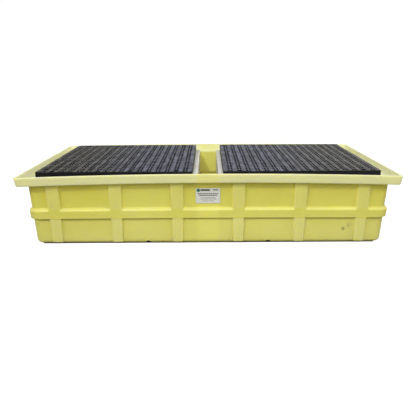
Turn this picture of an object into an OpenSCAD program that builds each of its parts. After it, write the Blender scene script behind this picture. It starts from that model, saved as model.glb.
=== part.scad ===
// Low spill containment pallet for two intermediate bulk containers.
// A moulded yellow sump holds interlocking natural-plastic support panels,
// and four lift-out black grates lie on the panels as the deck.
// X runs along the length, Y from front (-) to rear (+), Z up. The origin is
// at the middle of the base, on the ground.

/* [Sump] */
// Length over the rim
rim_length = 2970; // [2940:2:3040]
// Depth over the rim, front to rear
rim_depth = 1436; // [1430:2:1500]
// Height from the ground to the top of the rim
rim_height = 567; // [560:1:575]
// Height of the rim's upright lip
lip_height = 73; // [60:1:80]
// Thickness of the rim's upright lip
lip_thickness = 16; // [10:1:22]
// How far the lip leans in from top to bottom
lip_draft = 8; // [2:1:12]
// How far the rim stands out from the tub's wall
overhang = 66; // [56:1:70]
// Thickness of the tub's wall, shelf and floor
wall = 12; // [8:1:14]
// How far each tub wall leans in from shelf to floor
wall_draft = 14; // [8:1:18]
// Radius of the tub's upright corners
tub_corner = 65; // [50:1:90]
// Radius of the rim's corners
rim_corner = 26; // [20:1:40]
// Radius of the edge between wall and floor
floor_edge = 30; // [24:1:36]

/* [Ribs] */
// Spacing of the upright ribs on the long sides
rib_pitch = 486; // [476:1:496]
// Spacing of the upright ribs on the ends
end_rib_pitch = 450; // [400:1:460]
// Width of an upright rib at the shelf
rib_top_width = 116; // [90:1:120]
// Width of an upright rib at the foot
rib_foot_width = 89; // [60:1:90]
// How far the upright ribs stand out
rib_depth = 21; // [12:1:24]
// Width of an upright rib's sloped flank
rib_flank = 12; // [6:1:16]
// Height of the upright ribs' lower ends
rib_foot_height = 14; // [10:1:20]
// Height of the belt rib's lower edge
belt_low = 215; // [180:1:220]
// Height of the belt rib's flat face
belt_face = 69; // [50:1:80]
// Height of the belt rib's sloped top
belt_slope = 18; // [10:1:24]
// How far the belt rib stands out
belt_depth = 22; // [12:1:24]
// Radius of the two grooves across the base
groove_radius = 26; // [20:1:30]
// Height of the grooves above the ground
groove_height = 20; // [12:1:24]

/* [Label] */
// Width of the label plate
label_width = 194; // [120:1:220]
// Height of the label plate
label_height = 114; // [60:1:140]
// Thickness of the label plate
label_thickness = 1; // [0.5:0.1:2]
// Height of the label's centre
label_centre = 386; // [366:1:405]

/* [Grates] */
// Width of one grate
grate_width = 610; // [606:1:612]
// Length of one grate, front to rear
grate_length = 1219; // [1200:1:1224]
// Thickness of one grate
grate_height = 58; // [50:1:60]
// Height of the deck, the grates' walking surface
deck_height = 588; // [580:1:594]
// Half of the open gap in the middle of the deck
gap_half = 124; // [120:1:128]
// Seam between the two grates of a pair
grate_seam = 4; // [3:0.5:6]
// Pairs of slot columns in one grate
slot_pairs = 8; // [8:1:8]
// Slots along each column
slot_rows = 20; // [18:1:20]
// Width of a slot
slot_width = 14; // [10:0.5:16]
// Length of a slot
slot_length = 45; // [40:1:48]
// Web between the two columns of a pair
slot_web = 9; // [6:0.5:11]
// Thickness of the grate's top plate over its hollow bands
plate = 14; // [8:1:20]
// Cells of the hollow bands under one grate
band_cells = 5; // [4:1:6]

/* [Supports] */
// Thickness of a support panel
panel = 60; // [50:1:62]
// Skin of the hollow support panels
panel_skin = 6; // [4:0.5:8]
// Half of the open trough between the two sets of panels
trough_half = 85; // [82:1:90]
// Half of a cross panel's row, from the middle to the outermost panel
cross_reach = 570; // [560:1:576]
// Width of the flow openings under the panels
flow_width = 200; // [190:1:204]
// Height of the flow openings
flow_height = 48; // [46:1:60]
// Clearance of a panel in its notch, on each side
notch_clear = 0.5; // [0.3:0.1:1]

/* [Hidden] */

$fn = 32;
hair = 1;
join = 4;
bury = 6;
rest_gap = 0.4;
yellow = [0.84, 0.81, 0.42];
black = [0.16, 0.16, 0.17];
natural = [0.86, 0.85, 0.78];
paper = [0.90, 0.92, 0.92];

shelf_under = rim_height - lip_height;
shelf_top = shelf_under + wall;
tub_x = rim_length / 2 - overhang;
tub_y = rim_depth / 2 - overhang;
long_ribs = [for (i = [-2.5:1:2.5]) i * rib_pitch];
end_ribs = [-end_rib_pitch, 0, end_rib_pitch];

under_deck = deck_height - grate_height;
panel_low = wall + rest_gap;
panel_height = under_deck - rest_gap - panel_low;
grate_x = [gap_half + grate_width / 2, gap_half + grate_seam + 1.5 * grate_width];
long_x = [
    trough_half + panel / 2,
    gap_half + grate_width + grate_seam / 2,
    gap_half + 2 * grate_width + grate_seam - panel / 2
];
cross_y = [for (i = [-1.5:1:1.5]) i * cross_reach / 1.5];
cross_span = [trough_half, long_x[2] + panel / 2];
panel_length_y = grate_length - 14;
pair_pitch = 72;
slot_pitch = grate_length / slot_rows;

// ---------- the sump ----------

// A rounded rectangle, hx and hy from the middle to its sides.
module outline(hx, hy, r) {
    hull()
        for (sx = [-1, 1], sy = [-1, 1])
            translate([sx * (hx - r), sy * (hy - r)]) circle(r);
}

// A thin level slice of the tub at height z, grown sideways by grow.
module tub_slice(z, grow) {
    lean = wall_draft * (shelf_under - z) / shelf_under;
    translate([0, 0, z])
        linear_extrude(hair)
            outline(tub_x - lean + grow, tub_y - lean + grow, tub_corner + grow);
}

// The tub as a solid form, inset from the outside by a wall's thickness.
module tub_form(inset, top) {
    r = floor_edge - inset;
    hull() {
        for (a = [0, 30, 60, 90])
            tub_slice(inset + r * (1 - cos(a)), -inset - r * (1 - sin(a)));
        tub_slice(top, -inset);
    }
}

// The belt rib that runs all round the tub. Its sloped top runs on into the
// wall, so that the two meet in a clean line.
module belt_form(inset) {
    top = belt_low + belt_face - inset * 0.4;
    hull() {
        tub_slice(belt_low + inset, belt_depth - inset);
        tub_slice(top, belt_depth - inset);
        tub_slice(top + belt_slope * (belt_depth + bury) / belt_depth, -bury - inset);
    }
}

// One upright rib on a wall whose outside at the shelf is reach from the
// middle. It faces -Y, tapers to its foot and follows the wall's draft.
module rib_form(reach, inset) {
    hull()
        for (end = [[rib_foot_height + inset, rib_foot_width], [shelf_under + inset + join, rib_top_width]]) {
            lean = wall_draft * (shelf_under - end[0]) / shelf_under;
            face = end[1] / 2 - inset - rib_flank;
            root = face + rib_flank * (rib_depth + bury) / rib_depth;
            translate([0, inset - (reach - lean), end[0]])
                linear_extrude(hair)
                    polygon([[-root, bury], [-face, -rib_depth], [face, -rib_depth], [root, bury]]);
        }
}

module all_ribs(inset) {
    for (turn = [0, 180], x = long_ribs)
        rotate(turn) translate([x, 0, 0]) rib_form(tub_y, inset);
    for (turn = [90, 270], y = end_ribs)
        rotate(turn) translate([y, 0, 0]) rib_form(tub_x, inset);
}

// The rim's upright lip, from below the shelf to the top.
module lip_form(inset, low, high) {
    hull()
        for (z = [low, high - hair]) {
            lean = lip_draft * (rim_height - hair - z) / lip_height;
            translate([0, 0, z])
                linear_extrude(hair)
                    outline(
                        rim_length / 2 - lean - inset,
                        rim_depth / 2 - lean - inset,
                        rim_corner - min(inset, rim_corner - 6)
                    );
        }
}

// A groove across the base, or the ridge that it raises in the floor.
module groove(grow) {
    for (x = [-rib_pitch, rib_pitch])
        translate([x, 0, groove_height - groove_radius])
            rotate([90, 0, 0])
                cylinder(r = groove_radius + grow, h = rim_depth, center = true);
}

module sump() {
    color(yellow)
        difference() {
            union() {
                tub_form(0, shelf_under + join);
                belt_form(0);
                all_ribs(0);
                lip_form(0, shelf_under, rim_height);
            }
            difference() {
                union() {
                    tub_form(wall, shelf_top + join);
                    belt_form(wall);
                    all_ribs(wall);
                }
                groove(wall);
            }
            lip_form(lip_thickness, shelf_top, rim_height + 1);
            groove(0);
        }
}

// ---------- the label ----------

module label() {
    lean = atan(wall_draft / shelf_under);
    wall_y = tub_y - wall_draft * (shelf_under - label_centre) / shelf_under;
    color(paper)
        translate([0, -wall_y - 0.3, label_centre])
            rotate([90 + lean, 0, 0])
                linear_extrude(label_thickness)
                    difference() {
                        square([label_width, label_height], center = true);
                        for (sx = [-1, 1], sy = [-1, 1])
                            translate([sx * label_width / 2, sy * label_height / 2])
                                rotate(45) square(6, center = true);
                    }
}

// ---------- the grates ----------

// One slot, or in the finger places the merged opening of a pair.
module slots() {
    column = (slot_web + slot_width) / 2;
    for (p = [0:slot_pairs - 1], s = [0:slot_rows - 1]) {
        x = (p - (slot_pairs - 1) / 2) * pair_pitch;
        y = (s - (slot_rows - 1) / 2) * slot_pitch;
        finger = (p == 1 || p == slot_pairs - 2) && (s == 0 || s == slot_rows - 1);
        if (finger)
            translate([x, y]) square([2 * slot_width + slot_web, slot_length], center = true);
        else
            for (side = [-1, 1])
                translate([x + side * column, y]) square([slot_width, slot_length], center = true);
    }
}

// The hollow bands between the pairs, open underneath.
module hollow_bands() {
    band = pair_pitch - 2 * slot_width - slot_web;
    cell = grate_length / band_cells;
    for (b = [1:slot_pairs - 1], c = [0:band_cells - 1])
        translate([(b - slot_pairs / 2) * pair_pitch, (c - (band_cells - 1) / 2) * cell])
            square([band - 12, cell - 16], center = true);
}

module grate_at(x) {
    color(black)
        translate([x, 0, under_deck])
            difference() {
                linear_extrude(grate_height)
                    difference() {
                        square([grate_width, grate_length], center = true);
                        slots();
                    }
                translate([0, 0, -1])
                    linear_extrude(grate_height - plate + 1)
                        hollow_bands();
            }
}

// ---------- the support panels ----------

// A panel's side view, standing on y = 0, shrunk inwards by inset. Notches
// are open at the top or at the bottom, and feet are the flow openings.
module panel_side(low, high, notches, open_top, feet, inset) {
    slot = panel + 2 * notch_clear + 2 * inset;
    middle = panel_height / 2;
    difference() {
        translate([low + inset, inset])
            square([high - low - 2 * inset, panel_height - 2 * inset]);
        for (n = notches)
            translate([n - slot / 2, open_top ? middle - notch_clear - inset : -1])
                square([slot, middle + notch_clear + inset + 1]);
        for (f = feet)
            translate([f - flow_width / 2 - inset, -1])
                square([flow_width + 2 * inset, flow_height + inset + 1]);
    }
}

// The hollow panel, standing in the XZ plane with its thickness along Y.
module hollow_panel(low, high, notches, open_top, feet) {
    color(natural)
        rotate([90, 0, 0])
            difference() {
                linear_extrude(panel, center = true)
                    panel_side(low, high, notches, open_top, feet, 0);
                linear_extrude(panel - 2 * panel_skin, center = true)
                    panel_side(low, high, notches, open_top, feet, panel_skin);
            }
}

module long_panel(x) {
    feet = [for (i = [0:2]) (cross_y[i] + cross_y[i + 1]) / 2];
    translate([x, 0, panel_low])
        rotate(90)
            hollow_panel(-panel_length_y / 2, panel_length_y / 2, cross_y, true, feet);
}

module cross_panel(side, y) {
    feet = [for (i = [0:1]) side * (long_x[i] + long_x[i + 1]) / 2];
    low = side > 0 ? cross_span[0] : -cross_span[1];
    high = side > 0 ? cross_span[1] : -cross_span[0];
    translate([0, y, panel_low])
        hollow_panel(low, high, side * long_x, false, feet);
}

// ---------- the nodes ----------

sump();
label();
for (side = [-1, 1]) {
    hand = side < 0 ? "left" : "right";
    for (i = [0:1])
        grate_at(side * grate_x[i]);
    for (i = [0:2])
        long_panel(side * long_x[i]);
    for (i = [0:3])
        cross_panel(side, cross_y[i]);
}
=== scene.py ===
# %% [markdown]
# # A spill containment pallet
# The pallet is a low yellow sump, moulded in one piece. Natural-plastic panels
# stand in it, locked together like the dividers of a crate, and four black
# grates lie on the panels as the deck. Each new piece is computed from the
# frame's boxes and stands where its plain counterpart stood.

# %% Load the frame
import math

import bmesh
import bpy
import numpy as np
from mathutils import Euler, Matrix, Vector


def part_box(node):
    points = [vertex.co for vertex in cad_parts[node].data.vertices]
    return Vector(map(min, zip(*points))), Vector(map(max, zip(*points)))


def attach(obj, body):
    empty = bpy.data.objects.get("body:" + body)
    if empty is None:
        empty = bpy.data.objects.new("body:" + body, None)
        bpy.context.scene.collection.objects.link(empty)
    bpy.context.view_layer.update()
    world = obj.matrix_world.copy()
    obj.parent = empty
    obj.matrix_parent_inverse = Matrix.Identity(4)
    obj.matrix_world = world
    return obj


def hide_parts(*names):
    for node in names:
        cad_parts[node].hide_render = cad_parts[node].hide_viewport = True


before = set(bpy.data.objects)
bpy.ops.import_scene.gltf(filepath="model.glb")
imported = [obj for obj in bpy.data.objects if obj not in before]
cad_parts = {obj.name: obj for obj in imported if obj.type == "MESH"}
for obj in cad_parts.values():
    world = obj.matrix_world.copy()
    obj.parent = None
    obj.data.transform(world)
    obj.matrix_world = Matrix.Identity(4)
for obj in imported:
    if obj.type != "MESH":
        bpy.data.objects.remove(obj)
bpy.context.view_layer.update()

sump_low, sump_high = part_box("sump")
print("sump spans", [round(span, 3) for span in sump_high - sump_low])

# %% [markdown]
# ## Camera and studio
# The pallet is seen from the front and a little above, square to its long side.
# It stands on a pale floor in an even white room. A lamp to the left of the
# camera, 43 degrees up, draws the short shadow under the rim. Weaker lamps at
# both sides and a soft box in front fill that shadow.

# %% Camera and lights
VIEW_POINT = (0.006, -3.875, 1.350)
VIEW_DOWN = math.radians(18.03)
VIEW_YAW = math.radians(0.12)
VIEW_ROLL = math.radians(-0.37)
LENS = 37.15
SEEN_WHITE = 1.05
ROOM_TINT = (0.97, 0.985, 1.0, 1.0)


def add_object(name, data):
    """A new object with this data, linked into the scene."""
    made = bpy.data.objects.new(name, data)
    bpy.context.scene.collection.objects.link(made)
    return made


def add_camera():
    """A camera at VIEW_POINT, tipped down, with a trace of yaw and roll."""
    camera = add_object("camera", bpy.data.cameras.new("camera"))
    camera.data.lens = LENS
    camera.data.sensor_width = 36.0
    turn = Euler((math.pi / 2 - VIEW_DOWN, 0.0, VIEW_YAW)).to_matrix()
    turn = turn @ Matrix.Rotation(VIEW_ROLL, 3, "Z")
    camera.matrix_world = Matrix.Translation(VIEW_POINT) @ turn.to_4x4()
    bpy.context.scene.camera = camera


def add_sun(name, side, height, softness, power):
    """A distant lamp. side is the angle to the right of the camera's side of
    the room, height the angle up, and softness the angle that it fills."""
    lamp = bpy.data.lights.new(name, "SUN")
    lamp.energy = power
    lamp.angle = math.radians(softness)
    side, height = math.radians(side), math.radians(height)
    flat = math.cos(height)
    towards = Vector((math.sin(side) * flat, -math.cos(side) * flat, math.sin(height)))
    add_object(name, lamp).rotation_euler = towards.to_track_quat("Z", "Y").to_euler()


def add_softbox(name, place, target, size, power):
    """A square area lamp at place that faces target."""
    lamp = bpy.data.lights.new(name, "AREA")
    lamp.size = size
    lamp.energy = power
    holder = add_object(name, lamp)
    holder.location = place
    holder.rotation_euler = (Vector(target) - Vector(place)).to_track_quat("-Z", "Y").to_euler()


def add_math(tree, operation, first, second=0.0):
    """A Math node. Each operand is a socket or a number."""
    node = tree.nodes.new("ShaderNodeMath")
    node.operation = operation
    for slot_number, operand in enumerate((first, second)):
        if isinstance(operand, (int, float)):
            node.inputs[slot_number].default_value = operand
        else:
            tree.links.new(operand, node.inputs[slot_number])
    return node.outputs[0]


def add_range(tree, value, low, high, to_low=0.0, to_high=1.0):
    """A Map Range node that carries low..high to to_low..to_high, clamped."""
    node = tree.nodes.new("ShaderNodeMapRange")
    labels = ("From Min", "From Max", "To Min", "To Max")
    for label, number in zip(labels, (low, high, to_low, to_high)):
        node.inputs[label].default_value = number
    tree.links.new(value, node.inputs["Value"])
    return node.outputs["Result"]


def add_room(brightness, overhead, rear):
    """An even pale surrounding, brighter overhead and at the rear right.

    The camera sees plain white. Every other ray sees an even brightness, plus
    one share that ramps up as it turns upwards and one as it turns rear right.
    """
    world = bpy.data.worlds.new("room")
    bpy.context.scene.world = world
    world.use_nodes = True
    tree = world.node_tree
    coordinate = tree.nodes.new("ShaderNodeTexCoord")
    total = brightness
    for direction, start, share in (((0.0, 0.0, 1.0), 0.1, overhead), ((0.35, 0.94, 0.0), 0.6, rear)):
        along = tree.nodes.new("ShaderNodeVectorMath")
        along.operation = "DOT_PRODUCT"
        tree.links.new(coordinate.outputs["Generated"], along.inputs[0])
        along.inputs[1].default_value = direction
        glow = add_range(tree, along.outputs["Value"], start, 1.0, 0.0, share)
        glow.node.interpolation_type = "SMOOTHSTEP"
        total = add_math(tree, "ADD", glow, total)
    path = tree.nodes.new("ShaderNodeLightPath")
    seen = tree.nodes.new("ShaderNodeMix")
    tree.links.new(path.outputs["Is Camera Ray"], seen.inputs["Factor"])
    tree.links.new(total, seen.inputs[2])
    seen.inputs[3].default_value = SEEN_WHITE
    background = tree.nodes["Background"]
    background.inputs["Color"].default_value = ROOM_TINT
    tree.links.new(seen.outputs[0], background.inputs["Strength"])


add_camera()
add_room(brightness=0.17, overhead=0.29, rear=1.8)
add_sun("key_lamp", side=-27.0, height=43.0, softness=6.0, power=1.05)
add_sun("left_lamp", side=-62.0, height=32.0, softness=14.0, power=0.45)
add_sun("right_lamp", side=66.0, height=34.0, softness=18.0, power=0.75)
add_softbox("front_box", place=(0.0, -4.2, 2.6), target=(0.0, 0.0, 0.3), size=1.2, power=41.0)
bpy.context.scene.view_settings.view_transform = "Standard"
print("camera at", VIEW_POINT, "with a", LENS, "mm lens")

# %% [markdown]
# ## Helpers for computed surfaces
# A surface is one array of points in rows and columns. Quads join each row to
# the next, and welding closes the places where a row has shrunk to a line. A
# smooth ramp is the building block of every rounded edge.

# %% Helpers: ramps, sheets and welding
WELD_REACH = 2e-5


def ramp(value, start, end):
    """0 before start, 1 after end, and 3t^2 - 2t^3 between them."""
    t = np.clip((value - start) / (end - start), 0.0, 1.0)
    return t * t * (3.0 - 2.0 * t)


def loop_quads(rows, columns):
    """Corner numbers of the quads between neighbouring rows of a closed loop."""
    row, column = np.meshgrid(np.arange(rows - 1), np.arange(columns), indexing="ij")
    after = (column + 1) % columns
    here, there = row * columns, (row + 1) * columns
    return np.stack([here + column, here + after, there + after, there + column], -1).reshape(-1, 4)


def mesh_from(name, points, quads):
    """A mesh from an array of points and an array of four-cornered faces."""
    mesh = bpy.data.meshes.new(name)
    mesh.vertices.add(len(points))
    mesh.vertices.foreach_set("co", np.asarray(points, np.float32).ravel())
    mesh.loops.add(quads.size)
    mesh.loops.foreach_set("vertex_index", np.asarray(quads, np.int32).ravel())
    mesh.polygons.add(len(quads))
    mesh.polygons.foreach_set("loop_start", np.arange(0, quads.size, 4, dtype=np.int32))
    mesh.update(calc_edges=True)
    return mesh


def weld(mesh):
    """Joins points that share a place and turns every face outwards."""
    work = bmesh.new()
    work.from_mesh(mesh)
    bmesh.ops.remove_doubles(work, verts=work.verts, dist=WELD_REACH)
    bmesh.ops.recalc_face_normals(work, faces=work.faces)
    work.to_mesh(mesh)
    work.free()


def add_piece(name, mesh, material, body, smooth=True):
    """Puts a mesh into the scene as a piece with its material and body."""
    mesh.polygons.foreach_set("use_smooth", np.full(len(mesh.polygons), smooth))
    piece = add_object(name, mesh)
    mesh.materials.append(material)
    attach(piece, body)
    return piece


# %% [markdown]
# ## Shared effects for the materials
# Every plastic here has a fine moulded skin, a trace of dust where it faces
# up, and scuffs from handling. Each of the three is a node group that puts out
# masks, for every material to mix in its own strength.

# %% Effect groups
def new_group(name, inputs, outputs):
    """An empty node group. Inputs are name and default, outputs are names."""
    group = bpy.data.node_groups.new(name, "ShaderNodeTree")
    for label, default in inputs:
        socket = group.interface.new_socket(label, in_out="INPUT", socket_type="NodeSocketFloat")
        socket.default_value = default
    for label in outputs:
        group.interface.new_socket(label, in_out="OUTPUT", socket_type="NodeSocketFloat")
    return group, group.nodes.new("NodeGroupInput"), group.nodes.new("NodeGroupOutput")


def add_noise(tree, place, scale, detail=2.0, roughness=0.5):
    """A noise pattern on a place vector, as a value about one half."""
    noise = tree.nodes.new("ShaderNodeTexNoise")
    noise.inputs["Detail"].default_value = detail
    noise.inputs["Roughness"].default_value = roughness
    if isinstance(scale, (int, float)):
        noise.inputs["Scale"].default_value = scale
    else:
        tree.links.new(scale, noise.inputs["Scale"])
    tree.links.new(place, noise.inputs["Vector"])
    return noise.outputs[0]


def place_of(tree, scale=(1.0, 1.0, 1.0), turn=(0.0, 0.0, 0.0)):
    """Object coordinates, stretched and turned by a Mapping node."""
    coordinate = tree.nodes.new("ShaderNodeTexCoord")
    mapping = tree.nodes.new("ShaderNodeMapping")
    mapping.inputs["Scale"].default_value = scale
    mapping.inputs["Rotation"].default_value = turn
    tree.links.new(coordinate.outputs["Object"], mapping.inputs["Vector"])
    return mapping.outputs["Vector"]


def split_place(tree):
    """The outputs of a node that splits Object coordinates into X, Y and Z."""
    split = tree.nodes.new("ShaderNodeSeparateXYZ")
    tree.links.new(place_of(tree), split.inputs["Vector"])
    return split.outputs


def skin_group():
    """Moulded skin: orange peel from fine noise, and slow mottling of the colour."""
    group, given, put = new_group(
        "moulded_skin", [("Peel Scale", 260.0), ("Mottle Scale", 3.0)], ["Height", "Mottle"]
    )
    place = place_of(group)
    coarse = add_noise(group, place, given.outputs["Peel Scale"])
    fine = add_noise(group, place, add_math(group, "MULTIPLY", given.outputs["Peel Scale"], 3.1), 1.0)
    height = add_math(group, "ADD", coarse, add_math(group, "MULTIPLY", fine, 0.4))
    group.links.new(height, put.inputs["Height"])
    mottle = add_noise(group, place, given.outputs["Mottle Scale"], 3.0, 0.6)
    group.links.new(add_range(group, mottle, 0.32, 0.68), put.inputs["Mottle"])
    return group


def dust_group():
    """Dust: 1 on a face that looks up, broken into clouds by noise, 0 on walls."""
    group, given, put = new_group("settled_dust", [("Cloud Scale", 9.0)], ["Dust"])
    facing = group.nodes.new("ShaderNodeNewGeometry")
    split = group.nodes.new("ShaderNodeSeparateXYZ")
    group.links.new(facing.outputs["Normal"], split.inputs["Vector"])
    up = add_range(group, split.outputs["Z"], 0.55, 0.98)
    clouds = add_noise(group, place_of(group), given.outputs["Cloud Scale"], 5.0, 0.62)
    dust = add_math(group, "MULTIPLY", up, add_range(group, clouds, 0.3, 0.72))
    group.links.new(dust, put.inputs["Dust"])
    return group


def scuff_group():
    """Scuffs: thin streaks where a stretched noise crosses its middle value,
    kept only inside sparse patches of a slower noise."""
    group, given, put = new_group("handling_scuffs", [("Patch Scale", 2.4)], ["Scuff"])
    streaks = add_noise(group, place_of(group, (9.0, 9.0, 60.0), (0.3, 0.5, 0.2)), 1.0, 3.0)
    from_middle = add_math(group, "ABSOLUTE", add_math(group, "SUBTRACT", streaks, 0.5))
    thin = add_range(group, from_middle, 0.0, 0.022, 1.0, 0.0)
    patches = add_noise(group, place_of(group), given.outputs["Patch Scale"], 4.0, 0.7)
    scuff = add_math(group, "MULTIPLY", thin, add_range(group, patches, 0.6, 0.72))
    group.links.new(scuff, put.inputs["Scuff"])
    return group


SKIN = skin_group()
DUST = dust_group()
SCUFF = scuff_group()
print("effect groups:", SKIN.name, DUST.name, SCUFF.name)


# %% Helpers for a material
def new_material(name, **constants):
    """A material with a plain Principled shader. Constants go on its own sockets."""
    material = bpy.data.materials.new(name)
    material.use_nodes = True
    shader = material.node_tree.nodes["Principled BSDF"]
    for label, value in constants.items():
        shader.inputs[label.replace("_", " ")].default_value = value
    return material, material.node_tree, shader


def add_effect(tree, group, **values):
    """One of the effect groups, with this material's own input values."""
    node = tree.nodes.new("ShaderNodeGroup")
    node.node_tree = group
    for label, value in values.items():
        node.inputs[label.replace("_", " ")].default_value = value
    return node


def mix_colour(tree, factor, first, second):
    """A colour mix by a factor's socket. Each colour is a socket or a triple."""
    node = tree.nodes.new("ShaderNodeMix")
    node.data_type = "RGBA"
    tree.links.new(factor, node.inputs["Factor"])
    for socket, colour in ((node.inputs[6], first), (node.inputs[7], second)):
        if isinstance(colour, tuple):
            socket.default_value = (*colour, 1.0)
        else:
            tree.links.new(colour, socket)
    return node.outputs[2]


def tint(tree, colour, mask, share, towards):
    """The colour, mixed towards another by a mask times a share."""
    return mix_colour(tree, add_math(tree, "MULTIPLY", mask, share), colour, towards)


def new_plastic(name, peel, mottle, *colours, **constants):
    """A material with its moulded skin, and two colours mottled together."""
    material, tree, shader = new_material(name, **constants)
    skin = add_effect(tree, SKIN, Peel_Scale=peel, Mottle_Scale=mottle).outputs
    return material, tree, shader, skin, mix_colour(tree, skin["Mottle"], *colours)


def add_bump(tree, shader, height, strength, distance):
    """Feeds a height through a Bump node into the shader's Normal."""
    bump = tree.nodes.new("ShaderNodeBump")
    bump.inputs["Strength"].default_value = strength
    bump.inputs["Distance"].default_value = distance
    tree.links.new(height, bump.inputs["Height"])
    tree.links.new(bump.outputs["Normal"], shader.inputs["Normal"])


def link_surface(tree, shader, colour, mask, least, most):
    """Links the colour, and a roughness that goes from least to most with a mask."""
    tree.links.new(colour, shader.inputs["Base Color"])
    tree.links.new(add_range(tree, mask, 0.0, 1.0, least, most), shader.inputs["Roughness"])


# %% [markdown]
# ## Yellow polyethylene
# The sump's plastic is a pale, slightly waxy yellow. It is paler on the rim, as
# bleaching with a painted sheen, and on the inner lip and inside, as painted
# light with some bleaching. It pales towards the foot, which leaves the wall
# deeper yellow up under the rim as painted shade. It pales along rubbed edges,
# with a painted highlight along the rim's edges, and dust lies on the rim and
# shelf. The paling and the rubbed edges with their highlight are point
# attributes that the surface itself carries, so they follow the real crests.

# %% Material of the sump
def point_value(tree, name):
    """The value of a point attribute that the surface carries."""
    node = tree.nodes.new("ShaderNodeAttribute")
    node.attribute_name = name
    return node.outputs["Fac"]


DEEP_YELLOW, LIGHT_YELLOW = (0.80, 0.718, 0.105), (0.85, 0.77, 0.14)
# Pale colours: bleaching with painted light, rubbed edges with a painted highlight, and painted light down
# the middle.
PALE_BLEACH_AND_LIGHT, RUBBED_AND_HIGHLIGHT, PAINTED_GLOW_YELLOW = (0.93, 0.915, 0.575), (0.90, 0.88, 0.52), (0.93, 0.86, 0.19)
YELLOW_DUST, DARK_SCUFF, DARK_KNOCK = (0.82, 0.80, 0.52), (0.16, 0.14, 0.06), (0.16, 0.13, 0.06)
KNOCKS = (((1.084, -0.645, 0.120), 0.022, 0.9), ((1.130, -0.646, 0.145), 0.030, 0.4))


def yellow_plastic():
    """Two yellows mottled together, then paling with bleaching, painted light and painted shade, paler
    rubbed edges with a painted highlight, dark scuffs and dust.

    A strip in the middle, with no panel behind it, is painted lighter as painted light.
    KNOCKS lists the place, the reach and the strength of each dark knock.
    """
    material, tree, shader, skin, colour = new_plastic(
        "yellow_polyethylene", 210.0, 2.6, DEEP_YELLOW, LIGHT_YELLOW, IOR=1.5,
        Subsurface_Weight=0.6, Subsurface_Scale=0.03, Subsurface_Radius=(1.0, 0.9, 0.08),
    )
    # Paler by the skin's attribute: bleaching and painted light on the rim and inside, and painted shade
    # left deeper high on the outer wall.
    colour = mix_colour(tree, point_value(tree, "bleach_and_painted_light"), colour, PALE_BLEACH_AND_LIGHT)
    # Painted light: a paler strip down the middle, where no panel stands behind the wall.
    from_middle = add_math(tree, "ABSOLUTE", split_place(tree)["X"])
    painted_glow = add_range(tree, from_middle, 0.10, 0.07, 0.0, 0.45)
    colour = mix_colour(tree, painted_glow, colour, PAINTED_GLOW_YELLOW)
    # Paler along rubbed edges of ribs and belt, and a painted highlight along the rim's top and the lip's
    # lower edge.
    colour = tint(tree, colour, point_value(tree, "rubbed_and_highlight"), 0.5, RUBBED_AND_HIGHLIGHT)
    dust = add_effect(tree, DUST, Cloud_Scale=7.0)
    colour = tint(tree, colour, dust.outputs["Dust"], 0.35, YELLOW_DUST)
    scuff = add_effect(tree, SCUFF, Patch_Scale=1.7)
    colour = tint(tree, colour, scuff.outputs["Scuff"], 0.3, DARK_SCUFF)
    grain = add_range(tree, add_noise(tree, place_of(tree, (60.0, 60.0, 25.0)), 1.0), 0.35, 0.6)
    for spot, reach, strength in KNOCKS:
        gap = tree.nodes.new("ShaderNodeVectorMath")
        gap.operation = "DISTANCE"
        tree.links.new(place_of(tree), gap.inputs[0])
        gap.inputs[1].default_value = spot
        near = add_range(tree, gap.outputs["Value"], reach, reach * 0.3, 0.0, strength)
        colour = tint(tree, colour, near, grain, DARK_KNOCK)
    link_surface(tree, shader, colour, skin["Mottle"], 0.38, 0.5)
    add_bump(tree, shader, skin["Height"], 0.25, 0.0006)
    return material


YELLOW = yellow_plastic()

# %% [markdown]
# ## The sump
# Such a tub is cast by turning hot powder in a mould, so it is one skin of even
# thickness with rounded edges everywhere. Built from boxes and bevels, its ribs,
# belt and corners would meet in creases. Here the whole skin is one grid: its
# columns are stations round the tub and its rows run from the middle of the
# underside, up the outer wall, over the rim, down the inner wall and back to
# the middle of the floor. The ribs and the belt push the wall out, and because
# they are mixed as 1 - (1 - a)(1 - b) they flow into each other where they cross.

# %% Sizes of the sump
RIM_X, RIM_Y, RIM_TOP = sump_high.x, sump_high.y, sump_high.z
LIP_HEIGHT, LIP_THICK, LIP_DRAFT = 0.073, 0.016, 0.008
OVERHANG, WALL, WALL_DRAFT = 0.066, 0.012, 0.014
SHELF_UNDER = RIM_TOP - LIP_HEIGHT
SHELF_TOP = SHELF_UNDER + WALL
TUB_X, TUB_Y = RIM_X - OVERHANG, RIM_Y - OVERHANG
TUB_CORNER, RIM_CORNER, FLOOR_EDGE = 0.065, 0.026, 0.030
RIB_PITCH, END_RIB_PITCH = 0.486, 0.450
RIB_HALF_TOP, RIB_HALF_FOOT = 0.058, 0.0445
RIB_DEPTH, RIB_FLANK, RIB_FOOT = 0.021, 0.014, 0.014
BELT_LOW, BELT_FACE, BELT_SLOPE, BELT_DEPTH = 0.215, 0.069, 0.018, 0.022
GROOVE_RADIUS, GROOVE_HEIGHT = 0.026, 0.020
GROOVE_REACH = 0.041
ROOT_SPREAD, SHELF_ROUND, INNER_TRIM = 0.002, 0.007, 0.7
FAR_AWAY = 9.0
DRAWN_IN, CROWNED_UP = 0.022, 0.019
# Shares of the pale colour: outer rim bleaching and painted sheen, inner lip painted light and bleaching,
# foot paling that leaves painted shade higher up, inside painted light.
RIM_BLEACH_AND_SHEEN, INNER_LIP_LIGHT_AND_BLEACH, FOOT_PALING_TOP_SHADE, INSIDE_PAINTED_LIGHT = 0.68, 0.95, 0.16, 0.25
LONG_RIBS = (np.arange(6) - 2.5) * RIB_PITCH
END_RIBS = np.array([-END_RIB_PITCH, 0.0, END_RIB_PITCH])
ARC_STEPS = 9
print(f"tub {2 * TUB_X:.3f} by {2 * TUB_Y:.3f} m, rim {2 * RIM_X:.3f} by {2 * RIM_Y:.3f} m")


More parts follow.
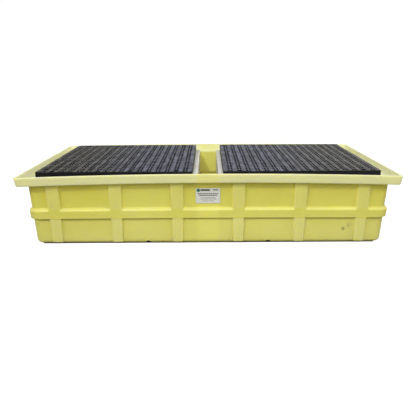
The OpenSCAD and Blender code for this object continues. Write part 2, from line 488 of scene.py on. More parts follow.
# %% Stations round the tub
def run_stations(ribs, corner, groove_centres):
    """Stations along one straight side, from -corner to corner.

    Returns the place of each station, how far it follows a rib's changing
    half width (-1 to 1), how far it follows the corner's start (-1 to 1) and
    the centre of its nearest rib.
    """
    flank = np.array([0.0, 0.14, 0.3, 0.5, 0.7, 0.86, 1.0])
    root = RIB_HALF_TOP + ROOT_SPREAD
    crest = root - RIB_FLANK
    side = np.concatenate([root - flank * RIB_FLANK, [crest * 0.5]])
    local = np.concatenate([-side, [0.0], side])
    places = [ribs[:, None] + local]
    bay = np.array([0.05, 0.16, 0.32, 0.5, 0.68, 0.84, 0.95])
    gaps = np.stack([ribs[:-1] + root, ribs[1:] - root], 1)
    places.append(gaps[:, :1] + bay * (gaps[:, 1:] - gaps[:, :1]))
    reach = ribs[-1] + root
    end = reach + np.array([0.12, 0.35, 0.6, 0.82, 1.0]) * (corner - reach)
    places.append(np.stack([end, -end]))
    ring = np.array([0.0, 0.009, 0.016, 0.0205, 0.0235, 0.0253, 0.029, 0.0335, 0.040])
    grooves = np.array(groove_centres).reshape(-1, 1) + np.concatenate([-ring, ring])
    along = np.concatenate([p.ravel() for p in places])
    if grooves.size:
        blocked = np.abs(along[:, None] - np.array(groove_centres)).min(1) < GROOVE_REACH
        along = np.concatenate([along[~blocked], grooves.ravel()])
    along = np.unique(np.round(along, 6))
    knots = [(-corner, 0.0)]
    for centre in ribs:
        knots += [(centre - root, -1.0), (centre - crest, -1.0), (centre + crest, 1.0), (centre + root, 1.0)]
    for centre in groove_centres:
        knots += [(centre - GROOVE_REACH, 0.0), (centre + GROOVE_REACH, 0.0)]
    knots = np.array(sorted(knots + [(corner, 0.0)]))
    pull = np.interp(along, knots[:, 0], knots[:, 1])
    stretch = np.interp(along, [-corner, -reach, reach, corner], [-1.0, 0.0, 0.0, 1.0])
    nearest = ribs[np.abs(along[:, None] - ribs).argmin(1)]
    return along, pull, stretch, nearest


def loop_stations():
    """All stations, counter-clockwise from the front left corner's end.

    Each row of the result is: along, pull, stretch, nearest rib, normal x,
    normal y, corner sign x, corner sign y, is a corner, is a long side.
    """
    sides = [(LONG_RIBS, TUB_X - TUB_CORNER, (-RIB_PITCH, RIB_PITCH), 1.0),
             (END_RIBS, TUB_Y - TUB_CORNER, (), 0.0)] * 2
    parts = []
    for number, (ribs, corner, grooves, is_long) in enumerate(sides):
        heading = math.radians(-90.0 + 90.0 * number)
        normal = (round(math.cos(heading)), round(math.sin(heading)))
        run = np.stack(run_stations(ribs, corner, grooves), 1)
        fixed = np.tile([normal[0], normal[1], 0.0, 0.0, 0.0, is_long], (len(run), 1))
        parts.append(np.concatenate([run, fixed], 1))
        angle = heading + np.radians(90.0) * np.arange(1, ARC_STEPS) / ARC_STEPS
        signs = np.sign([math.cos(heading + math.pi / 4), math.sin(heading + math.pi / 4)])
        arc = np.zeros((len(angle), 10))
        arc[:, 3] = FAR_AWAY
        arc[:, 4], arc[:, 5] = np.cos(angle), np.sin(angle)
        arc[:, 6:8] = signs
        arc[:, 8] = 1.0
        parts.append(arc)
    return np.concatenate(parts)


STATIONS = loop_stations()
print("stations round the tub:", len(STATIONS))


# %% Where a ring of stations lies
def ring_points(half_x, half_y, corner, height, rib_half, push):
    """Points of rings round the tub, as rows by stations by three.

    A straight side lies its half extent from the middle. A corner's point is
    the corner's centre plus its radius along the normal. push moves each
    point further out along its normal.
    """
    along, pull, stretch, _, nx, ny, sx, sy, is_corner, is_long = STATIONS.T
    reach = np.where(is_long > 0, half_y, half_x) + push
    start = np.where(is_long > 0, half_x - corner, half_y - corner)
    start_at_tub = np.where(is_long > 0, TUB_X - TUB_CORNER, TUB_Y - TUB_CORNER)
    place = along + pull * (rib_half - RIB_HALF_TOP) + stretch * (start - start_at_tub)
    bow = corner + push
    x = np.where(is_corner > 0, sx * (half_x - corner) + bow * nx, nx * reach - ny * place)
    y = np.where(is_corner > 0, sy * (half_y - corner) + bow * ny, ny * reach + nx * place)
    return np.stack(np.broadcast_arrays(x, y, height), -1)


def rib_half_at(z, trim=0.0):
    """Half width of an upright rib: it widens evenly from its foot to the shelf."""
    share = np.clip((z - RIB_FOOT) / (SHELF_UNDER - RIB_FOOT), 0.0, 1.0)
    return RIB_HALF_FOOT + share * (RIB_HALF_TOP - RIB_HALF_FOOT) - trim


def relief(z, rib_half, skin):
    """How far ribs and belt push the wall out, and the mask of their crests.

    A rib is full inside its crest and ramps down over its flank. The belt
    ramps in over its lower edge and out over its sloped top. The two are
    mixed as 1 - (1 - rib)(1 - belt). skin moves the edges inside the wall.
    """
    along, pull, _, nearest = STATIONS[:, :4].T
    place = along + pull * (rib_half - RIB_HALF_TOP)
    across = np.abs(place - nearest)
    root = rib_half + ROOT_SPREAD
    rib = 1.0 - ramp(across, root - RIB_FLANK, root)
    rib = rib * ramp(z, RIB_FOOT - 0.002 + skin, RIB_FOOT + 0.003 + skin * 1.5)
    belt_top = BELT_LOW + BELT_FACE - 0.4 * skin
    belt = ramp(z, BELT_LOW - 0.003 + skin, BELT_LOW + 0.0035 + skin)
    belt = belt * (1.0 - ramp(z, belt_top - 0.004, belt_top + BELT_SLOPE + 0.002))
    mixed = 1.0 - (1.0 - rib * RIB_DEPTH / BELT_DEPTH) * (1.0 - belt)
    crest = ramp(mixed, 0.62, 0.88) * (1.0 - ramp(mixed, 0.9, 0.99))
    return mixed * BELT_DEPTH, crest


def groove_rise(x, grow, floor):
    """Height of the grooves across the base: an arch of a circle, or the floor."""
    away = np.abs(np.abs(x) - RIB_PITCH)
    radius = GROOVE_RADIUS + grow
    arch = GROOVE_HEIGHT - GROOVE_RADIUS + np.sqrt(np.clip(radius**2 - away**2, 0.0, None))
    return np.maximum(floor, np.where(away < radius, arch, floor))


# %% Rows of the walls
def wall_rows(heights, skin):
    """Rows of the outer wall (skin 0) or the inner wall (skin is its thickness).

    The wall leans in towards the floor, and its foot is a quarter circle. Over
    a groove the lowest rows are squeezed up so that the foot follows the arch.
    """
    floor = skin
    squeeze = 0.06
    along, _, _, _, nx, ny, _, _, is_corner, is_long = STATIONS.T
    z = np.asarray(heights)[:, None]
    half = rib_half_at(z, skin * INNER_TRIM)
    rise = groove_rise(np.where(is_long > 0, along, FAR_AWAY), skin, floor)
    share = np.clip((z - floor) / squeeze, 0.0, 1.0)
    z = np.where(z < floor + squeeze, rise + share * (floor + squeeze - rise), z)
    foot = FLOOR_EDGE - skin
    below = np.clip(1.0 - (z - floor) / foot, 0.0, 1.0)
    inset = foot * (1.0 - np.sqrt(1.0 - below**2))
    lean = WALL_DRAFT * (SHELF_UNDER - z) / SHELF_UNDER
    push, crest = relief(z, half, skin)
    push = push + wander(np.where(is_corner > 0, 5.0 * nx, along) + 3.0 * nx + 7.0 * ny, z)
    if skin == 0.0:
        under = np.clip((z - (SHELF_UNDER - SHELF_ROUND)) / SHELF_ROUND, 0.0, 1.0)
        push = push + SHELF_ROUND * (1.0 - np.sqrt(1.0 - under**2))
    points = ring_points(TUB_X - lean - inset - skin, TUB_Y - lean - inset - skin,
                         TUB_CORNER - skin - inset, z, half, push)
    return points, crest


def wander(along, z):
    """Slow unevenness of a moulded panel, under a millimetre: a sum of sines."""
    wave = np.sin(3.1 * along + 0.7) * np.sin(9.0 * z + 2.0 * along)
    wave = wave + 0.6 * np.sin(7.3 * along + 5.0 * z) + 0.4 * np.sin(13.7 * along - 17.0 * z)
    calm = ramp(z, 0.03, 0.09) * (1.0 - ramp(z, 0.43, 0.48))
    return 0.0007 * wave * calm


OUTER_HEIGHTS = np.concatenate([
    [0.0, 0.0008, 0.0025, 0.005, 0.008, 0.0105, 0.012, 0.013, 0.014, 0.0152, 0.017, 0.02, 0.025, 0.03],
    [0.042, 0.065, 0.1, 0.14, 0.175, 0.198, 0.208],
    BELT_LOW + np.array([-0.003, -0.0018, -0.0008, 0.0002, 0.0012, 0.0024, 0.0035, 0.006, 0.013]),
    [0.248, 0.266],
    BELT_LOW + BELT_FACE + np.array([-0.004, -0.001, 0.003, 0.008, 0.013, 0.017, 0.02, 0.024]),
    [0.318, 0.342, 0.372, 0.405, 0.436, 0.462, 0.478, 0.487],
    SHELF_UNDER - SHELF_ROUND * (1.0 - np.sin(np.radians([0.0, 25.0, 45.0, 62.0, 76.0, 90.0]))),
])
INNER_HEIGHTS = np.concatenate([
    [0.492, 0.474, 0.45, 0.41, 0.365, 0.33, 0.31],
    BELT_LOW + BELT_FACE + np.array([0.017, 0.011, 0.006, 0.0, -0.006, -0.009, -0.025]),
    BELT_LOW + WALL + np.array([0.006, 0.0035, 0.0018, 0.0002, -0.0015, -0.003, -0.012]),
    [0.17, 0.12, 0.08, 0.05, 0.038, 0.034, 0.031, 0.028, 0.025, 0.021, 0.017, 0.014, 0.0125, 0.012],
])

# %% Rows of the rim, the floor and the underside
def rim_rows():
    """Rows from the outer wall's top, under the shelf, over the lip and back to
    the shelf's inner edge, as distances in from the rim's outside and heights."""
    def arc(inset, height, radius, start, end, steps):
        angle = np.radians(np.linspace(start, end, steps))
        return np.stack([inset - radius * np.cos(angle), height + radius * np.sin(angle)], 1)

    bottom_round, top_round, inner_round, shelf_round = 0.006, LIP_THICK / 2, 0.009, 0.014
    lean_at = LIP_DRAFT * (1.0 - (np.array([0.006, 0.02, 0.035, 0.052]) / LIP_HEIGHT))
    face_low = np.stack([lean_at, SHELF_UNDER + np.array([0.008, 0.02, 0.035, 0.052])], 1)
    inner_lean = LIP_THICK + LIP_DRAFT * (RIM_TOP - SHELF_TOP) / LIP_HEIGHT
    shelf_end = OVERHANG + WALL - shelf_round
    profile = np.concatenate([
        [[OVERHANG * 0.75, SHELF_UNDER], [OVERHANG * 0.45, SHELF_UNDER], [0.02, SHELF_UNDER]],
        arc(LIP_DRAFT + bottom_round, SHELF_UNDER + bottom_round, bottom_round, -90.0, -8.0, 5),
        face_low,
        arc(top_round, RIM_TOP - top_round, top_round, 4.0, 176.0, 11),
        [[LIP_THICK + 0.002, RIM_TOP - 0.022], [LIP_THICK + 0.0045, RIM_TOP - 0.04]],
        arc(inner_lean + inner_round, SHELF_TOP + inner_round, inner_round, 0.0, -90.0, 5),
        [[0.042, SHELF_TOP], [0.054, SHELF_TOP]],
        arc(shelf_end, SHELF_TOP - shelf_round, shelf_round, 90.0, 172.0, 7),
    ])
    inset, height = profile[:, :1], profile[:, 1:]
    past_top = np.arange(len(profile))[:, None] > np.argmax(profile[:, 1])
    blend = np.clip((inset - LIP_THICK) / (OVERHANG + WALL - LIP_THICK), 0.0, 1.0)
    corner_out = RIM_CORNER - inset * 0.4 + blend * (TUB_CORNER - RIM_CORNER + 0.4 * OVERHANG)
    corner_in = np.maximum(RIM_CORNER - inset, 0.010) + blend * (TUB_CORNER - WALL - 0.010)
    corner = np.where(past_top, corner_in, corner_out)
    push, _ = relief(np.array([[SHELF_UNDER]]), np.array([[RIB_HALF_TOP]]), 0.0)
    close = np.where(past_top, 0.0, np.clip((inset - 0.03) / (OVERHANG - 0.03), 0.0, 1.0))
    waves = 0.0008 * np.sin(2.3 * STATIONS[:, 0] + 4.0 * STATIONS[:, 4]) * (inset < 0.03)
    points = ring_points(RIM_X - inset, RIM_Y - inset, corner, height, RIB_HALF_TOP,
                         push * close - np.abs(waves))
    # Painted highlight: a paler line along the rim's top, and a weaker one along the lip's lower edge.
    shine = np.exp(-((height - RIM_TOP) / 0.006) ** 2)
    shine = np.maximum(shine, 0.6 * np.exp(-((height - SHELF_UNDER) / 0.005) ** 2) * (inset < 0.02))
    return points, np.broadcast_to(shine, points.shape[:2])


def floor_rows(ring, skin):
    """Rows that shrink a ring to the line along its middle, at floor height.

    y shrinks to nothing. x stays as it is in the middle stretch, so that the
    grooves run straight, and shrinks to that stretch's ends outside it.
    """
    left = (1.0 - np.array([0.03, 0.1, 0.22, 0.38, 0.55, 0.72, 0.87, 1.0]))[:, None]
    middle = TUB_X - TUB_Y
    x, y = ring[:, 0], ring[:, 1]
    beyond = np.clip(np.abs(x) - middle, 0.0, None)
    x = np.sign(x) * (np.minimum(np.abs(x), middle) + beyond * left)
    y = y * left
    z = groove_rise(x, skin, skin)
    return np.stack([x, y, z], -1)


# %% [markdown]
# A long thin-walled moulding never stays quite straight. As it cools, the long
# walls are drawn in a little between the corners, and the rim crowns up at
# mid-length. The whole skin is bent by one smooth function, which also carries
# the label, so that it stays on its wall.

# %% Bend of the long walls
def bend(points):
    """Draws the long walls in and crowns the rim, most at mid-length.

    The share is 1 - (x / half length)^2. It is full above the belt and fades
    to nothing at the floor; the crown begins at the belt and is full at the rim.
    """
    x, y, z = points[..., 0], points[..., 1], points[..., 2]
    share = np.clip(1.0 - (x / RIM_X) ** 2, 0.0, 1.0)
    y = y * (1.0 - DRAWN_IN / RIM_Y * share * ramp(z, 0.03, 0.30))
    crown = np.clip((z - BELT_LOW - BELT_FACE) / (SHELF_UNDER - BELT_LOW - BELT_FACE), 0.0, 1.0)
    outwards = np.clip(np.abs(y) / TUB_Y, 0.0, 1.0)
    return np.stack([x, y, z + CROWNED_UP * share * crown * outwards], -1)


# %% Make the sump
def make_sump():
    """Stacks all rows into one closed skin and welds its two middle lines."""
    outer, outer_crest = wall_rows(OUTER_HEIGHTS, 0.0)
    rim, rim_highlight = rim_rows()
    inner, _ = wall_rows(INNER_HEIGHTS, WALL)
    under = floor_rows(outer[0], 0.0)[::-1]
    floor = floor_rows(inner[-1], WALL)
    points = bend(np.concatenate([under, outer, rim, inner, floor]))
    rubbed_and_highlight = np.zeros(points.shape[:2])
    # Painted shade: paler towards the foot, so the wall stays deeper yellow up under the rim.
    bleach_and_painted_light = FOOT_PALING_TOP_SHADE * (1.0 - ramp(points[..., 2], 0.04, 0.42))
    rim_start = len(under) + len(outer)
    rim_end = rim_start + len(rim)
    rubbed_and_highlight[len(under):rim_start] = outer_crest
    rubbed_and_highlight[rim_start:rim_end] = rim_highlight
    inner_side = np.arange(len(rim)) > np.argmax(rim[:, 0, 2])
    # Rim rows: bleaching with a painted sheen outside, painted light with some bleaching on the inner lip;
    # inside below them, painted light.
    bleach_and_painted_light[rim_start:rim_end] = np.where(inner_side, INNER_LIP_LIGHT_AND_BLEACH, RIM_BLEACH_AND_SHEEN)[:, None]
    bleach_and_painted_light[rim_end:] = INSIDE_PAINTED_LIGHT
    mesh = mesh_from("sump_skin", points.reshape(-1, 3), loop_quads(*points.shape[:2]))
    for name, values in (("rubbed_and_highlight", rubbed_and_highlight), ("bleach_and_painted_light", bleach_and_painted_light)):
        attribute = mesh.attributes.new(name, "FLOAT", "POINT")
        attribute.data.foreach_set("value", values.astype(np.float32).ravel())
    weld(mesh)
    piece = add_piece("sump_shell", mesh, YELLOW, "sump")
    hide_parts("sump")
    return piece


sump = make_sump()
print("sump:", len(sump.data.polygons), "faces")

# %% [markdown]
# ## Solids on a lattice
# Grates and panels are flat work: solid and empty squares, cut through at one
# or two levels. The pattern is an array of true and false, and a face stands
# wherever solid meets empty. All faces share the same lattice points, so the
# solid is closed without any cutting. A Bevel modifier then rounds its edges.

# %% Lattice solids
def lattice_faces(filled):
    """Quads round the solid boxes of a three-dimensional array of booleans."""
    padded = np.pad(filled, 1)
    counts = np.array(filled.shape) + 1
    strides = np.array([counts[1] * counts[2], counts[2], 1])
    faces = []
    for axis in range(3):
        behind = [slice(1, -1)] * 3
        ahead = [slice(1, -1)] * 3
        behind[axis], ahead[axis] = slice(0, -1), slice(1, None)
        before, after = padded[tuple(behind)], padded[tuple(ahead)]
        right, up = strides[(axis + 1) % 3], strides[(axis + 2) % 3]
        for mask, order in ((before & ~after, (0, 1, 2, 3)), (after & ~before, (3, 2, 1, 0))):
            corner = np.argwhere(mask) @ strides
            square = np.stack([corner, corner + right, corner + right + up, corner + up], 1)
            faces.append(square[:, order])
    return np.concatenate(faces)


def lattice_mesh(name, lines, filled):
    """A mesh of the solid boxes between three sets of lattice lines."""
    grid = np.stack(np.meshgrid(*lines, indexing="ij"), -1).reshape(-1, 3)
    faces = lattice_faces(filled)
    used, corners = np.unique(faces, return_inverse=True)
    return mesh_from(name, grid[used], corners.reshape(-1, 4))


def round_edges(mesh, width, segments):
    """The mesh with its edges rounded by a Bevel modifier, applied."""
    carrier = add_object("carrier", mesh)
    bevel = carrier.modifiers.new("round", "BEVEL")
    bevel.width = width
    bevel.segments = segments
    bevel.limit_method = "ANGLE"
    bevel.angle_limit = math.radians(40.0)
    bpy.context.view_layer.update()
    graph = bpy.context.evaluated_depsgraph_get()
    rounded = bpy.data.meshes.new_from_object(carrier.evaluated_get(graph))
    bpy.data.objects.remove(carrier)
    return rounded


# %% [markdown]
# ## The grates
# Each grate is a moulded black deck with eight pairs of slot columns. Fingers
# go into wider openings at four places, and long pockets underneath keep the
# thick deck light. One grate is computed about its own middle, and the four
# pieces are copies moved to their boxes.

# %% Material of the grates
DECK_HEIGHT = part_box("grate_left_inner")[1].z
SEAM_AT = (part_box("grate_right_inner")[1].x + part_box("grate_right_outer")[0].x) / 2.0
DEEP_BLACK, LIGHT_BLACK, GREY_SCUFF = (0.012, 0.012, 0.014), (0.022, 0.022, 0.026), (0.3, 0.29, 0.27)
# Film colours of dust and a painted sheen; the bluish one, near the middle, is a painted reflection.
BLUE_REFLECTION_FILM, WARM_FILM = (0.212, 0.220, 0.284), (0.212, 0.200, 0.166)


def black_plastic():
    """Near-black plastic with a pebbled skin, a grey film of dust and painted sheen, and paler scuffs.

    The film lies only on the deck's face, as dust and a painted sheen, bluish near
    the middle as a painted reflection and warm at the ends. Speckle and streaks
    break it up, and the seams are free of it.
    """
    material, tree, shader, skin, colour = new_plastic(
        "black_polyethylene", 420.0, 6.0, DEEP_BLACK, LIGHT_BLACK, IOR=1.5, Specular_IOR_Level=0.03
    )
    place = split_place(tree)
    away = add_math(tree, "ABSOLUTE", place["X"])
    film = mix_colour(tree, add_range(tree, away, 0.5, 1.1), BLUE_REFLECTION_FILM, WARM_FILM)
    dust = add_effect(tree, DUST, Cloud_Scale=11.0)
    sheen_and_dust_cover = add_range(tree, dust.outputs["Dust"], 0.0, 1.0, 0.45, 1.0)
    from_seam = add_math(tree, "ABSOLUTE", add_math(tree, "SUBTRACT", away, SEAM_AT))
    fine = add_noise(tree, place_of(tree), 75.0)
    slow = add_noise(tree, place_of(tree, (30.0, 7.0, 7.0)), 1.0, 3.0)
    for mask in (add_range(tree, place["Z"], DECK_HEIGHT - 0.0022, DECK_HEIGHT - 0.0006),
                 add_range(tree, from_seam, 0.011, 0.015),
                 add_range(tree, fine, 0.36, 0.62, 0.08, 1.0),
                 add_range(tree, slow, 0.42, 0.62, 0.35, 1.6)):
        sheen_and_dust_cover = add_math(tree, "MULTIPLY", sheen_and_dust_cover, mask)
    # Dust and a painted sheen: the film laid over the deck's face.
    colour = mix_colour(tree, sheen_and_dust_cover, colour, film)
    scuff = add_effect(tree, SCUFF, Patch_Scale=5.0)
    colour = tint(tree, colour, scuff.outputs["Scuff"], 0.4, GREY_SCUFF)
    link_surface(tree, shader, colour, sheen_and_dust_cover, 0.42, 0.62)
    add_bump(tree, shader, skin["Height"], 0.5, 0.0008)
    return material


BLACK = black_plastic()

# %% Make the grates
SLOT_PAIRS, SLOT_ROWS = 8, 20
SLOT_WIDE, SLOT_LONG, SLOT_WEB, PAIR_PITCH = 0.014, 0.045, 0.009, 0.072
TOP_PLATE, POCKET_RIB, POCKET_ROWS, POCKET_MARGIN = 0.014, 0.006, 4, 0.020
GRATE_ROUND = 0.0022
HALF_FIELD = SLOT_PAIRS / 2.0 * PAIR_PITCH


def grate_lines(width, length, height):
    """Lattice lines of a grate, along its width, its length and its height."""
    pocket = (PAIR_PITCH - 2.0 * SLOT_WIDE - SLOT_WEB) / 2.0 - POCKET_RIB
    steps = [0.0, pocket, pocket + POCKET_RIB]
    steps += [steps[-1] + SLOT_WIDE, steps[-1] + SLOT_WIDE + SLOT_WEB]
    steps = np.array(steps + [steps[-1] + SLOT_WIDE, steps[-1] + SLOT_WIDE + POCKET_RIB])
    pairs = (np.arange(SLOT_PAIRS) - SLOT_PAIRS / 2.0) * PAIR_PITCH
    inner_x = (pairs[:, None] + steps).ravel()
    x = np.concatenate([[-width / 2.0], inner_x, [HALF_FIELD, width / 2.0]])
    pitch = length / SLOT_ROWS
    rows = (np.arange(SLOT_ROWS) - (SLOT_ROWS - 1) / 2.0) * pitch
    slot_ends = (rows[:, None] + [-SLOT_LONG / 2.0, SLOT_LONG / 2.0]).ravel()
    y = np.concatenate([[-length / 2.0], slot_ends, [length / 2.0]])
    return x, y, np.array([0.0, height - TOP_PLATE, height])


def grate_plan(x, y):
    """Booleans for the slots and the pockets on the squares of the lattice."""
    middle_x, middle_y = (x[1:] + x[:-1]) / 2.0, (y[1:] + y[:-1]) / 2.0
    pair = np.floor(middle_x / PAIR_PITCH + SLOT_PAIRS / 2.0)
    in_pair = middle_x - (pair - SLOT_PAIRS / 2.0 + 0.5) * PAIR_PITCH
    inside = (pair >= 0) & (pair < SLOT_PAIRS)
    from_web = np.abs(in_pair)
    is_web = inside & (from_web < SLOT_WEB / 2.0)
    is_slot = inside & ~is_web & (from_web < SLOT_WEB / 2.0 + SLOT_WIDE)
    is_pocket = inside & (from_web > SLOT_WEB / 2.0 + SLOT_WIDE + POCKET_RIB)
    is_pocket &= np.abs(middle_x) < HALF_FIELD - POCKET_MARGIN
    row = np.arange(len(middle_y))
    slot_row = row % 2 == 1
    block_bar = (row % (2 * POCKET_ROWS)) == 0
    slots = is_slot[:, None] & slot_row
    fingers = inside & ((pair == 1) | (pair == SLOT_PAIRS - 2)) & (is_web | is_slot)
    end_row = (row == 1) | (row == len(row) - 2)
    slots |= fingers[:, None] & end_row
    return slots, is_pocket[:, None] & ~block_bar


def make_grates():
    """Computes one grate from the first grate's box and places the four."""
    low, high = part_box("grate_left_outer")
    size = high - low
    x, y, z = grate_lines(size.x, size.y, size.z)
    slots, pockets = grate_plan(x, y)
    filled = np.stack([~slots & ~pockets, ~slots], 2)
    grate = round_edges(lattice_mesh("grate", (x, y, z), filled), GRATE_ROUND, 2)
    pieces = []
    for hand in ("left", "right"):
        for which in ("outer", "inner"):
            node = f"grate_{hand}_{which}"
            low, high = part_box(node)
            middle = (low + high) / 2.0
            mesh = grate.copy()
            mesh.name = node
            mesh.transform(Matrix.Translation((middle.x, middle.y, low.z)))
            piece = add_piece(f"{node}_deck", mesh, BLACK, node, smooth=False)
            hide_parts(node)
            pieces.append(piece)
    return pieces


grates = make_grates()
print("grates:", len(grates), "with", len(grates[0].data.polygons), "faces each")

# %% [markdown]
# ## The support panels
# The panels are hollow mouldings of uncoloured plastic, a milky grey-white.
# Long panels carry notches at the top and cross panels at the bottom, so that
# they lock into each other, and low openings let the liquid level out.

# %% Material of the support panels
DEEP_MILK, LIGHT_MILK, MILK_DUST = (0.64, 0.62, 0.50), (0.72, 0.70, 0.59), (0.50, 0.47, 0.38)


def natural_plastic():
    """Milky uncoloured plastic, mottled, a little dusty on top."""
    material, tree, shader, skin, colour = new_plastic(
        "natural_polyethylene", 180.0, 5.0, DEEP_MILK, LIGHT_MILK, IOR=1.5
    )
    dust = add_effect(tree, DUST, Cloud_Scale=14.0)
    colour = tint(tree, colour, dust.outputs["Dust"], 0.3, MILK_DUST)
    link_surface(tree, shader, colour, skin["Mottle"], 0.32, 0.48)
    add_bump(tree, shader, skin["Height"], 0.2, 0.0006)
    return material


NATURAL = natural_plastic()

# %% Make the support panels
NOTCH_WIDE, FLOW_WIDE, FLOW_HIGH = 0.061, 0.200, 0.048
PANEL_ROUND = 0.006


def panel_mesh(name, low, high, notches, feet, open_top):
    """A panel along X between low and high: its rectangle less its notches
    and flow openings, one panel thick."""
    half_notch, half_flow = NOTCH_WIDE / 2.0, FLOW_WIDE / 2.0
    edges = [notches - half_notch, notches + half_notch, feet - half_flow, feet + half_flow]
    ends = np.array([low.x, high.x])
    along = np.unique(np.round(np.clip(np.concatenate(edges + [ends]), low.x, high.x), 5))
    middle_z = (low.z + high.z) / 2.0
    rise = np.array([low.z, low.z + FLOW_HIGH, middle_z, high.z])
    centre = (along[1:] + along[:-1]) / 2.0
    in_notch = (np.abs(centre[:, None] - notches) < half_notch).any(1)
    in_foot = (np.abs(centre[:, None] - feet) < half_flow).any(1)
    notch_levels = np.array([False, False, True]) if open_top else np.array([True, True, False])
    empty = in_notch[:, None] & notch_levels
    empty |= in_foot[:, None] & np.array([True, False, False])
    depth = np.array([low.y, high.y])
    return lattice_mesh(name, (along, depth, rise), ~empty[:, None, :])


def make_panels():
    """The fourteen panels, each from its node's box and its neighbours' places."""
    nodes = [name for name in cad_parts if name.startswith("support")]
    middles = {name: sum(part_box(name), Vector()) / 2.0 for name in nodes}
    pieces = []
    for hand in ("left", "right"):
        own = {name: place for name, place in middles.items() if f"_{hand}_" in name}
        long_x = np.sort([place.x for name, place in own.items() if "_long_" in name])
        cross_y = np.sort([place.y for name, place in own.items() if "_cross_" in name])
        for node in sorted(own):
            low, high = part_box(node)
            is_long = "_long_" in node
            if is_long:
                low, high = Vector((low.y, -high.x, low.z)), Vector((high.y, -low.x, high.z))
            notches = cross_y if is_long else long_x
            feet = (notches[1:] + notches[:-1]) / 2.0
            mesh = round_edges(panel_mesh(node, low, high, notches, feet, is_long), PANEL_ROUND, 3)
            if is_long:
                mesh.transform(Matrix.Rotation(math.pi / 2.0, 4, "Z"))
            piece = add_piece(f"{node}_panel", mesh, NATURAL, f"supports_{hand}")
            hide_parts(node)
            pieces.append(piece)
    return pieces


panels = make_panels()
print("panels:", len(panels))

# %% [markdown]
# ## The label
# A printed vinyl label sits high on the front wall, between the middle ribs.
# Its print is generic: a plain green disc, dark bars where a heading and lines
# of small print would be, and nothing that can be read.

# %% Material of the label
VINYL_WHITE, VINYL_GRIME = (0.77, 0.77, 0.71), (0.45, 0.44, 0.36)
DARK_INK, GREEN_INK = (0.03, 0.035, 0.035), (0.005, 0.13, 0.08)
LINES_OF_PRINT = (
    (0.70, 0.92, 0.85, 0.93, 19.0, 0.86), (0.08, 0.92, 0.60, 0.67, 13.0, 0.78),
    (0.14, 0.86, 0.49, 0.56, 17.0, 0.76), (0.22, 0.80, 0.35, 0.385, 23.0, 0.66),
    (0.18, 0.84, 0.27, 0.305, 19.0, 0.7), (0.26, 0.74, 0.14, 0.175, 21.0, 0.68),
)


def label_vinyl():
    """White vinyl. Bars and dashes come from the label's own UV map.

    LINES_OF_PRINT lists each row of dashes: left, right, low, high, how many
    dashes would fill the label, and the inked share of each.
    """
    material, tree, shader = new_material("printed_vinyl", Roughness=0.38, IOR=1.46)
    coordinate = tree.nodes.new("ShaderNodeUVMap")
    coordinate.uv_map = "label_map"
    split = tree.nodes.new("ShaderNodeSeparateXYZ")
    tree.links.new(coordinate.outputs["UV"], split.inputs["Vector"])
    u, v = split.outputs["X"], split.outputs["Y"]

    def band(value, low, high):
        above = add_math(tree, "GREATER_THAN", value, low)
        below = add_math(tree, "LESS_THAN", value, high)
        return add_math(tree, "MULTIPLY", above, below)

    def block(left, right, low, high):
        return add_math(tree, "MULTIPLY", band(u, left, right), band(v, low, high))

    def dashes(left, right, low, high, count, share):
        step = add_math(tree, "FRACT", add_math(tree, "MULTIPLY", u, count))
        words = add_math(tree, "LESS_THAN", step, share)
        return add_math(tree, "MULTIPLY", block(left, right, low, high), words)

    ink = block(0.20, 0.58, 0.82, 0.94)
    for line in LINES_OF_PRINT:
        ink = add_math(tree, "MAXIMUM", ink, dashes(*line))
    mark_u = add_math(tree, "MULTIPLY", add_math(tree, "SUBTRACT", u, 0.11), 1.56)
    mark_v = add_math(tree, "SUBTRACT", v, 0.87)
    squares = [add_math(tree, "MULTIPLY", away, away) for away in (mark_u, mark_v)]
    mark = add_math(tree, "LESS_THAN", add_math(tree, "ADD", *squares), 0.0125)
    colour = mix_colour(tree, add_math(tree, "MULTIPLY", ink, 0.94), VINYL_WHITE, DARK_INK)
    colour = mix_colour(tree, mark, colour, GREEN_INK)
    skin = add_effect(tree, SKIN, Peel_Scale=90.0, Mottle_Scale=20.0)
    colour = tint(tree, colour, skin.outputs["Mottle"], 0.12, VINYL_GRIME)
    tree.links.new(colour, shader.inputs["Base Color"])
    add_bump(tree, shader, skin.outputs["Height"], 0.08, 0.0004)
    return material


VINYL = label_vinyl()

# %% Make the label
LABEL_CORNER, LABEL_LIFT, LABEL_THICK = 0.006, 0.0012, 0.0009
FRONT_WANDER = -7.0


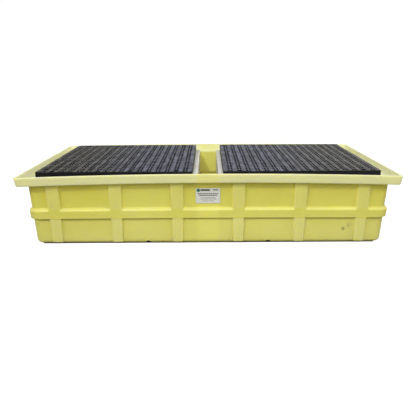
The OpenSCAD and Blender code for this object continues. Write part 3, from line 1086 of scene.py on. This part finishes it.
def make_label():
    """A thin closed sheet over a grid of u and v from -1 to 1.

    Near a corner the grid is drawn in so that the outline is a rounded
    rectangle. Front and back follow the leaning wall, a hair outside it.
    """
    low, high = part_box("label")
    half, centre = (high - low) / 2.0, (high + low) / 2.0
    u, v = np.meshgrid(np.linspace(-1.0, 1.0, 41), np.linspace(-1.0, 1.0, 27))
    fx, fz = u * half.x, v * half.z
    over_x = np.clip(np.abs(fx) - (half.x - LABEL_CORNER), 0.0, None)
    over_z = np.clip(np.abs(fz) - (half.z - LABEL_CORNER), 0.0, None)
    larger = np.maximum(over_x, over_z)
    shrink = np.where(larger > 0.0, larger / np.maximum(np.hypot(over_x, over_z), 1e-9), 1.0)
    fx = np.sign(fx) * (np.abs(fx) - over_x * (1.0 - shrink))
    fz = np.sign(fz) * (np.abs(fz) - over_z * (1.0 - shrink))
    z = fz + centre.z
    wall = -(TUB_Y - WALL_DRAFT * (SHELF_UNDER - z) / SHELF_UNDER)
    wall = wall - wander(fx + FRONT_WANDER, z)
    front = bend(np.stack([fx + centre.x, wall, z], -1)) - np.array([0.0, LABEL_LIFT, 0.0])
    back = front + np.array([0.0, LABEL_THICK, 0.0])
    count = u.size
    number = np.arange(count).reshape(u.shape)
    quad = np.stack([number[:-1, :-1], number[:-1, 1:], number[1:, 1:], number[1:, :-1]], -1)
    quad = quad.reshape(-1, 4)
    rim = np.concatenate([number[0, :], number[1:, -1], number[-1, -2::-1], number[-2:0:-1, 0]])
    rim_next = np.roll(rim, -1)
    side = np.stack([rim, rim + count, rim_next + count, rim_next], 1)
    quads = np.concatenate([quad, quad[:, ::-1] + count, side])
    points = np.concatenate([front.reshape(-1, 3), back.reshape(-1, 3)])
    mesh = mesh_from("label", points, quads)
    layer = mesh.uv_layers.new(name="label_map")
    flat = np.stack([(u + 1.0) / 2.0, (v + 1.0) / 2.0], -1).reshape(-1, 2)
    both = np.concatenate([flat, flat])[quads.ravel()]
    layer.data.foreach_set("uv", both.astype(np.float32).ravel())
    weld(mesh)
    piece = add_piece("label_plate", mesh, VINYL, "sump")
    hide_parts("label")
    return piece


label = make_label()
print("label:", len(label.data.polygons), "faces")

# %% [markdown]
# ## The floor
# A wide pale floor stands in for the ground. Hardly any light gets under the
# tub, so the floor there carries a painted shadow, near black, which shows in
# the grooves and at the foot.

# %% Make the floor
FLOOR_REACH = 30.0
# Half sizes of the floor's painted shadow under the tub.
DARK_X, DARK_Y, DARK_EDGE = 1.340, 0.630, 0.008
BARE_FLOOR, PAINTED_SHADOW_FLOOR = (0.28, 0.28, 0.28), (0.02, 0.02, 0.02)
PALE_FLOOR, PALER_FLOOR, FLOOR_GLOW = (0.42, 0.42, 0.42), (0.44, 0.44, 0.44), 0.8


def make_floor():
    """A large square at ground level with a faint, slow unevenness of tone.

    In the open it glows a little to the eye, as a floor in strong light does,
    but it throws only a modest share of the light back up onto the walls.
    Under the tub the camera sees a painted shadow, near black, without the glow.
    """
    corners = [(-1.0, -1.0, 0.0), (1.0, -1.0, 0.0), (1.0, 1.0, 0.0), (-1.0, 1.0, 0.0)]
    mesh = mesh_from("floor", FLOOR_REACH * np.array(corners), np.array([[0, 1, 2, 3]]))
    floor = add_object("floor", mesh)
    material, tree, shader = new_material("pale_floor", Roughness=0.85, Specular_IOR_Level=0.1)
    seen = tree.nodes.new("ShaderNodeLightPath").outputs["Is Camera Ray"]
    pale = mix_colour(tree, add_noise(tree, place_of(tree), 0.6), PALE_FLOOR, PALER_FLOOR)
    place = split_place(tree)
    past = [add_range(tree, add_math(tree, "ABSOLUTE", place[axis]), edge, edge + DARK_EDGE)
            for axis, edge in (("X", DARK_X), ("Y", DARK_Y))]
    in_the_open = add_math(tree, "MAXIMUM", *past)
    # Painted shadow: to the camera the floor under the tub is near black.
    pale = mix_colour(tree, in_the_open, PAINTED_SHADOW_FLOOR, pale)
    tree.links.new(mix_colour(tree, seen, BARE_FLOOR, pale), shader.inputs["Base Color"])
    shader.inputs["Emission Color"].default_value = (1.0, 1.0, 1.0, 1.0)
    glow = add_math(tree, "MULTIPLY", add_math(tree, "MULTIPLY", seen, FLOOR_GLOW), in_the_open)
    tree.links.new(glow, shader.inputs["Emission Strength"])
    mesh.materials.append(material)


make_floor()

# %% Finish
bpy.context.view_layer.update()
